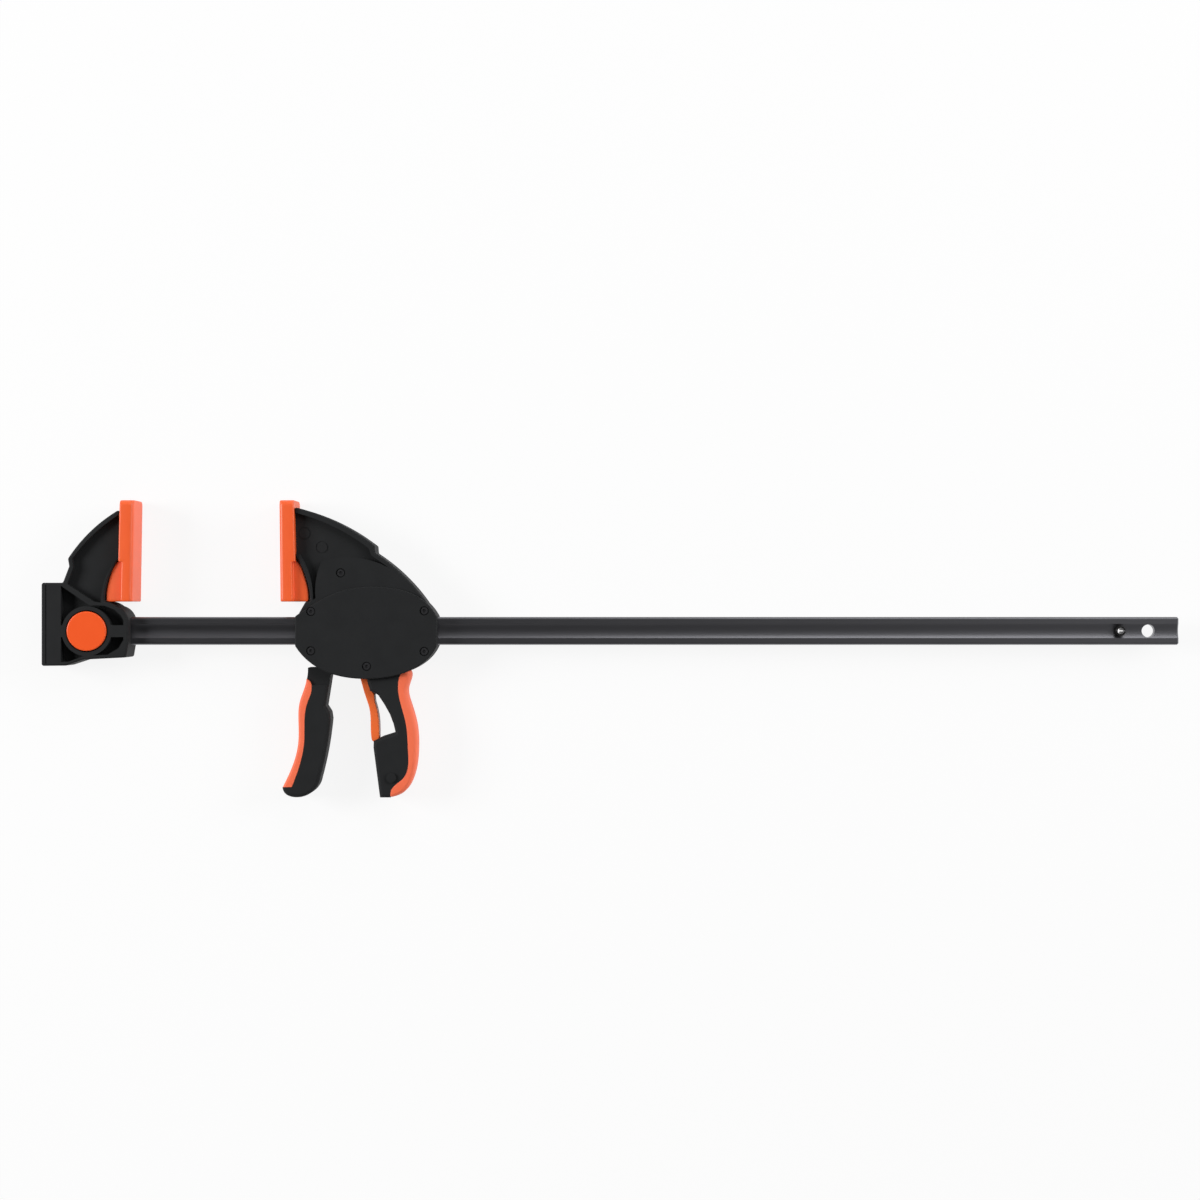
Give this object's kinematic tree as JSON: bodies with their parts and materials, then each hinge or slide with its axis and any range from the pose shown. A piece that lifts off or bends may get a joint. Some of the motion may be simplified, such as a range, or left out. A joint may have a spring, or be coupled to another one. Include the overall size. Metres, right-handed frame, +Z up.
{
  "type": "quick release bar clamp",
  "caption": "One-handed bar clamp: fixed jaw, sliding trigger jaw with release lever, soft pads and a grooved steel bar with end stop.",
  "frame": {"origin": "centre of the bounding box's base: the clamp lies on its side on its pads", "axes": "+X along the bar from the fixed jaw to the bar's tail, +Y from the handle towards the jaw tips, +Z up through the clamp's thickness"},
  "size_m": [0.905, 0.2364, 0.036],
  "materials": {
    "bar_steel": "satin",
    "pin_steel": "satin",
    "plate_steel": "satin",
    "spring_steel": "satin",
    "screw_steel": "satin",
    "black_nylon": "matte",
    "orange_pad": "matte",
    "orange_grip": "matte",
    "orange_button": "satin",
    "orange_lever": "satin"
  },
  "bodies": {
    "rail": {"bar": "bar_steel", "stop_pin": "pin_steel", "fixed_jaw": "black_nylon", "fixed_pad": "orange_pad", "button_spring": "spring_steel"},
    "button": {"release_button": "orange_button", "lock_pin_carrier": "black_nylon", "lock_pin": "pin_steel", "carrier_screws": "screw_steel"},
    "carriage": {"housing_cover": "black_nylon", "housing_base": "black_nylon", "housing_screws": "screw_steel", "movable_pad": "orange_pad", "grip_overmould": "orange_grip", "trigger_pivot_pin": "pin_steel", "release_pivot_sleeve": "pin_steel", "drive_spring": "spring_steel", "brake_spring": "spring_steel"},
    "trigger": {"trigger": "black_nylon", "trigger_overmould": "orange_grip", "drive_pin": "pin_steel"},
    "drive": {"drive_plate_front": "plate_steel", "drive_plate_rear": "plate_steel"},
    "release": {"release_lever": "orange_lever"},
    "brake": {"brake_plate_front": "plate_steel", "brake_plate_rear": "plate_steel"}
  },
  "joints": [
    {"name": "jaw_slide", "type": "slide", "parent": "rail", "child": "carriage", "axis": [1, 0, 0], "range_m": [-0.115, 0.539]},
    {"name": "trigger_pivot", "type": "hinge", "parent": "carriage", "child": "trigger", "pos_m": [-0.21905, 0.0372, 0.018], "axis": [0, 0, 1], "range_deg": [0, 16], "stiffness_Nm_per_rad": 1.2, "springref_deg": -20.05, "deforming": ["drive_spring"]},
    {"name": "drive_slide", "type": "slide", "parent": "carriage", "child": "drive", "axis": [1, 0, 0], "range_m": [0, 0.0117]},
    {"name": "release_pivot", "type": "hinge", "parent": "carriage", "child": "release", "pos_m": [-0.19445, -0.0137, 0.018], "axis": [0, 0, 1], "range_deg": [0, 10], "stiffness_Nm_per_rad": 0.4, "springref_deg": -17.19, "deforming": ["brake_spring"]},
    {"name": "brake_tilt", "type": "hinge", "parent": "carriage", "child": "brake", "pos_m": [-0.1874, 0.0347, 0.018], "axis": [0, 0, 1], "range_deg": [0, 2.05]},
    {"name": "button_push", "type": "slide", "parent": "rail", "child": "button", "axis": [0, 0, -1], "range_m": [0, 0.0064], "stiffness_N_per_m": 900, "springref_m": -0.004, "deforming": ["button_spring"]}
  ],
  "couplings": [
    {"joint": "drive_slide", "follows": "trigger_pivot", "m_per_rad": 0.0415},
    {"joint": "brake_tilt", "follows": "release_pivot", "ratio": 0.2}
  ]
}
